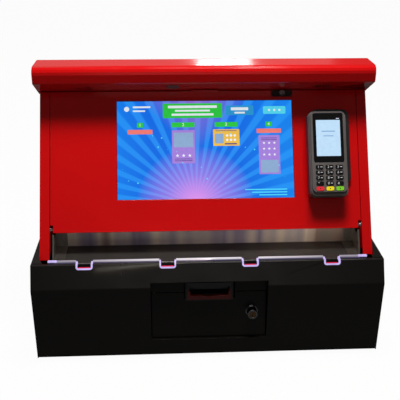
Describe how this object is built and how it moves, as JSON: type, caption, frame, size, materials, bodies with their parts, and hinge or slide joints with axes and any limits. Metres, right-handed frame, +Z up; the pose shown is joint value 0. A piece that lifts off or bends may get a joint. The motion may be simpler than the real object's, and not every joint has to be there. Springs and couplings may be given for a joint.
{
  "type": "lottery ticket dispenser",
  "caption": "Countertop ticket vending machine with leaning touch screen door, card terminal, ticket tray and lockable cash base.",
  "frame": {"origin": "middle of the machine's plan at the height of the counter it stands on", "axes": "+Z up, the front faces -Y, +X is to the right of someone standing in front"},
  "size_m": [0.662, 0.3934, 0.53],
  "materials": {
    "black_satin_steel": "satin black powder coat",
    "foot_rubber": "moulded rubber",
    "polished_edging": "bright polished edging",
    "brushed_tray_steel": "brushed stainless sheet",
    "bezel_plastic": "dark grey moulded plastic",
    "red_lamp": "glowing red translucent plastic",
    "unit_plastic": "black moulded housing",
    "box_steel": "zinc plated or grey painted sheet",
    "pin_steel": "plain steel",
    "lock_chrome": "bright chrome",
    "lock_brass": "brass plug",
    "red_paint": "semi-gloss red powder coat",
    "sensor_glass": "smoked window",
    "mount_plastic": "matt black moulding",
    "screen_face": "lit display behind a glass front",
    "terminal_grey": "warm grey moulded plastic",
    "terminal_glass_black": "black glass with a small display",
    "key_dark": "dark key caps",
    "key_red": "red key cap",
    "key_yellow": "yellow key cap",
    "key_green": "green key cap",
    "roller_rubber": "rubber sleeve on a steel shaft",
    "ticket_paper": "pale printed card"
  },
  "bodies": {
    "cabinet": {"base_shell": "black_satin_steel", "base_front": "black_satin_steel", "rubber_feet": "foot_rubber", "lip_trim": "polished_edging", "tray_liner": "brushed_tray_steel", "tray_end_plates": "brushed_tray_steel", "bill_header": "black_satin_steel", "bill_bezel": "bezel_plastic", "bill_lamp": "red_lamp", "bill_validator": "unit_plastic", "cash_box": "box_steel", "cabinet_shell": "red_paint", "canopy_hood": "red_paint", "canopy_underside": "red_paint", "speakers": "unit_plastic", "sensor_window": "sensor_glass", "hinge_pins": "pin_steel", "feeder_deck": "box_steel", "feeder_frames": "box_steel", "feed_motors": "box_steel", "ticket_packs": "ticket_paper", "power_supply": "unit_plastic", "hood_screws": "pin_steel"},
    "door": {"front_door": "red_paint", "door_lock_plate": "mount_plastic", "door_lock_barrel": "lock_chrome", "screen_glass": "screen_face", "screen_panel": "unit_plastic", "controller": "unit_plastic", "terminal_mount": "mount_plastic", "terminal_case": "terminal_grey", "terminal_glass": "terminal_glass_black", "mount_screws": "pin_steel"},
    "cash_flap": {"cash_door": "black_satin_steel", "cash_lock_barrel": "lock_chrome"},
    "key_1": {"key_1": "key_dark"},
    "key_2": {"key_2": "key_dark"},
    "key_3": {"key_3": "key_dark"},
    "key_4": {"key_4": "key_dark"},
    "key_5": {"key_5": "key_dark"},
    "key_6": {"key_6": "key_dark"},
    "key_7": {"key_7": "key_dark"},
    "key_8": {"key_8": "key_dark"},
    "key_9": {"key_9": "key_dark"},
    "key_star": {"key_star": "key_dark"},
    "key_0": {"key_0": "key_dark"},
    "key_hash": {"key_hash": "key_dark"},
    "key_cancel": {"key_cancel": "key_red"},
    "key_clear": {"key_clear": "key_yellow"},
    "key_enter": {"key_enter": "key_green"},
    "cash_lock_plug": {"cash_lock_plug": "lock_brass"},
    "door_lock_plug": {"door_lock_plug": "lock_brass"},
    "feed_roller_1": {"feed_roller_1": "roller_rubber"},
    "feed_roller_2": {"feed_roller_2": "roller_rubber"},
    "feed_roller_3": {"feed_roller_3": "roller_rubber"},
    "feed_roller_4": {"feed_roller_4": "roller_rubber"},
    "pressure_roller_1": {"pressure_roller_1": "roller_rubber"},
    "pressure_roller_2": {"pressure_roller_2": "roller_rubber"},
    "pressure_roller_3": {"pressure_roller_3": "roller_rubber"},
    "pressure_roller_4": {"pressure_roller_4": "roller_rubber"}
  },
  "joints": [
    {"name": "front_door_hinge", "type": "hinge", "parent": "cabinet", "child": "door", "pos_m": [0, -0.09154, 0.23484], "axis": [1, 0, 0], "range_deg": [0, 85]},
    {"name": "door_lock_turn", "type": "hinge", "parent": "door", "child": "door_lock_plug", "pos_m": [0.153, 0.03055, 0.4663], "axis": [0, 0.866, -0.5], "range_deg": [0, 90]},
    {"name": "cash_door_hinge", "type": "hinge", "parent": "cabinet", "child": "cash_flap", "pos_m": [-0.104, -0.18053, 0.04457], "axis": [0, -0.1219, -0.9925], "range_deg": [0, 90]},
    {"name": "cash_lock_turn", "type": "hinge", "parent": "cash_flap", "child": "cash_lock_plug", "pos_m": [0.082, -0.17754, 0.0976], "axis": [0, 0.9925, -0.1219], "range_deg": [0, 90]},
    {"name": "key_1_press", "type": "slide", "parent": "door", "child": "key_1", "axis": [0, 0.866, -0.5], "range_m": [0, 0.001], "stiffness_N_per_m": 300, "springref_m": -0.0005},
    {"name": "key_2_press", "type": "slide", "parent": "door", "child": "key_2", "axis": [0, 0.866, -0.5], "range_m": [0, 0.001], "stiffness_N_per_m": 300, "springref_m": -0.0005},
    {"name": "key_3_press", "type": "slide", "parent": "door", "child": "key_3", "axis": [0, 0.866, -0.5], "range_m": [0, 0.001], "stiffness_N_per_m": 300, "springref_m": -0.0005},
    {"name": "key_4_press", "type": "slide", "parent": "door", "child": "key_4", "axis": [0, 0.866, -0.5], "range_m": [0, 0.001], "stiffness_N_per_m": 300, "springref_m": -0.0005},
    {"name": "key_5_press", "type": "slide", "parent": "door", "child": "key_5", "axis": [0, 0.866, -0.5], "range_m": [0, 0.001], "stiffness_N_per_m": 300, "springref_m": -0.0005},
    {"name": "key_6_press", "type": "slide", "parent": "door", "child": "key_6", "axis": [0, 0.866, -0.5], "range_m": [0, 0.001], "stiffness_N_per_m": 300, "springref_m": -0.0005},
    {"name": "key_7_press", "type": "slide", "parent": "door", "child": "key_7", "axis": [0, 0.866, -0.5], "range_m": [0, 0.001], "stiffness_N_per_m": 300, "springref_m": -0.0005},
    {"name": "key_8_press", "type": "slide", "parent": "door", "child": "key_8", "axis": [0, 0.866, -0.5], "range_m": [0, 0.001], "stiffness_N_per_m": 300, "springref_m": -0.0005},
    {"name": "key_9_press", "type": "slide", "parent": "door", "child": "key_9", "axis": [0, 0.866, -0.5], "range_m": [0, 0.001], "stiffness_N_per_m": 300, "springref_m": -0.0005},
    {"name": "key_star_press", "type": "slide", "parent": "door", "child": "key_star", "axis": [0, 0.866, -0.5], "range_m": [0, 0.001], "stiffness_N_per_m": 300, "springref_m": -0.0005},
    {"name": "key_0_press", "type": "slide", "parent": "door", "child": "key_0", "axis": [0, 0.866, -0.5], "range_m": [0, 0.001], "stiffness_N_per_m": 300, "springref_m": -0.0005},
    {"name": "key_hash_press", "type": "slide", "parent": "door", "child": "key_hash", "axis": [0, 0.866, -0.5], "range_m": [0, 0.001], "stiffness_N_per_m": 300, "springref_m": -0.0005},
    {"name": "key_cancel_press", "type": "slide", "parent": "door", "child": "key_cancel", "axis": [0, 0.866, -0.5], "range_m": [0, 0.001], "stiffness_N_per_m": 300, "springref_m": -0.0005},
    {"name": "key_clear_press", "type": "slide", "parent": "door", "child": "key_clear", "axis": [0, 0.866, -0.5], "range_m": [0, 0.001], "stiffness_N_per_m": 300, "springref_m": -0.0005},
    {"name": "key_enter_press", "type": "slide", "parent": "door", "child": "key_enter", "axis": [0, 0.866, -0.5], "range_m": [0, 0.001], "stiffness_N_per_m": 300, "springref_m": -0.0005},
    {"name": "feed_roller_1_spin", "type": "hinge", "parent": "cabinet", "child": "feed_roller_1", "pos_m": [-0.2322, -0.03, 0.266], "axis": [1, 0, 0], "continuous": true},
    {"name": "pressure_roller_1_spin", "type": "hinge", "parent": "cabinet", "child": "pressure_roller_1", "pos_m": [-0.2322, -0.03831, 0.28884], "axis": [1, 0, 0], "continuous": true},
    {"name": "feed_roller_2_spin", "type": "hinge", "parent": "cabinet", "child": "feed_roller_2", "pos_m": [-0.0774, -0.03, 0.266], "axis": [1, 0, 0], "continuous": true},
    {"name": "pressure_roller_2_spin", "type": "hinge", "parent": "cabinet", "child": "pressure_roller_2", "pos_m": [-0.0774, -0.03831, 0.28884], "axis": [1, 0, 0], "continuous": true},
    {"name": "feed_roller_3_spin", "type": "hinge", "parent": "cabinet", "child": "feed_roller_3", "pos_m": [0.0774, -0.03, 0.266], "axis": [1, 0, 0], "continuous": true},
    {"name": "pressure_roller_3_spin", "type": "hinge", "parent": "cabinet", "child": "pressure_roller_3", "pos_m": [0.0774, -0.03831, 0.28884], "axis": [1, 0, 0], "continuous": true},
    {"name": "feed_roller_4_spin", "type": "hinge", "parent": "cabinet", "child": "feed_roller_4", "pos_m": [0.2322, -0.03, 0.266], "axis": [1, 0, 0], "continuous": true},
    {"name": "pressure_roller_4_spin", "type": "hinge", "parent": "cabinet", "child": "pressure_roller_4", "pos_m": [0.2322, -0.03831, 0.28884], "axis": [1, 0, 0], "continuous": true}
  ],
  "couplings": [
    {"joint": "pressure_roller_1_spin", "follows": "feed_roller_1_spin", "ratio": -1.6667},
    {"joint": "pressure_roller_2_spin", "follows": "feed_roller_2_spin", "ratio": -1.6667},
    {"joint": "pressure_roller_3_spin", "follows": "feed_roller_3_spin", "ratio": -1.6667},
    {"joint": "pressure_roller_4_spin", "follows": "feed_roller_4_spin", "ratio": -1.6667}
  ]
}
